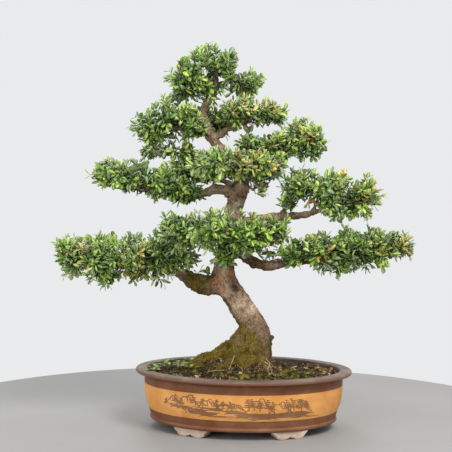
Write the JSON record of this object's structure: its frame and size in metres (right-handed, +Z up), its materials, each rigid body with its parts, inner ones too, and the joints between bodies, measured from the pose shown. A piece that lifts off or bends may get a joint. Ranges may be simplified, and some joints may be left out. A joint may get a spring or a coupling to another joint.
{
  "type": "bonsai tree in a pot",
  "caption": "Small-leaved evergreen bonsai with an S-curved trunk and layered leaf pads, rooted in mounded soil in a footed oval clay pot.",
  "frame": {"origin": "on the ground under the middle of the bounding box", "axes": "+Z up; the pot's long side and the widest branches along X; -Y is the front that shows the tree's S curve"},
  "size_m": [0.5948, 0.276, 0.6248],
  "materials": {
    "pot_clay": "satin",
    "foot_clay": "matte",
    "soil": "matte",
    "grit": "matte",
    "moss": "matte",
    "seedling": "satin",
    "bark": "matte",
    "leaf": "satin",
    "screen_plastic": "matte",
    "clip_wire": "satin"
  },
  "bodies": {
    "root": {"branch_lower_back": "bark", "branch_lower_front": "bark", "branch_lower_left": "bark", "branch_lower_right": "bark", "branch_mid_back": "bark", "branch_mid_back_left": "bark", "branch_mid_front": "bark", "branch_mid_left": "bark", "branch_mid_right": "bark", "branch_upper_back": "bark", "branch_upper_left": "bark", "branch_upper_left_low": "bark", "branch_upper_mid_right": "bark", "branch_upper_right": "bark", "drain_screen_left": "screen_plastic", "drain_screen_right": "screen_plastic", "foot_back_left": "foot_clay", "foot_back_right": "foot_clay", "foot_front_left": "foot_clay", "foot_front_right": "foot_clay", "grit_layer": "grit", "leaves_apex": "leaf", "leaves_lower_back": "leaf", "leaves_lower_front": "leaf", "leaves_lower_left": "leaf", "leaves_lower_right": "leaf", "leaves_mid_back": "leaf", "leaves_mid_back_left": "leaf", "leaves_mid_front": "leaf", "leaves_mid_left": "leaf", "leaves_mid_right": "leaf", "leaves_upper_back": "leaf", "leaves_upper_left": "leaf", "leaves_upper_left_low": "leaf", "leaves_upper_mid_right": "leaf", "leaves_upper_right": "leaf", "moss_front": "moss", "moss_left": "moss", "moss_right": "moss", "pot_body": "pot_clay", "screen_clip_left": "clip_wire", "screen_clip_right": "clip_wire", "seedling_clump": "seedling", "soil": "soil", "trunk": "bark"}
  },
  "joints": []
}
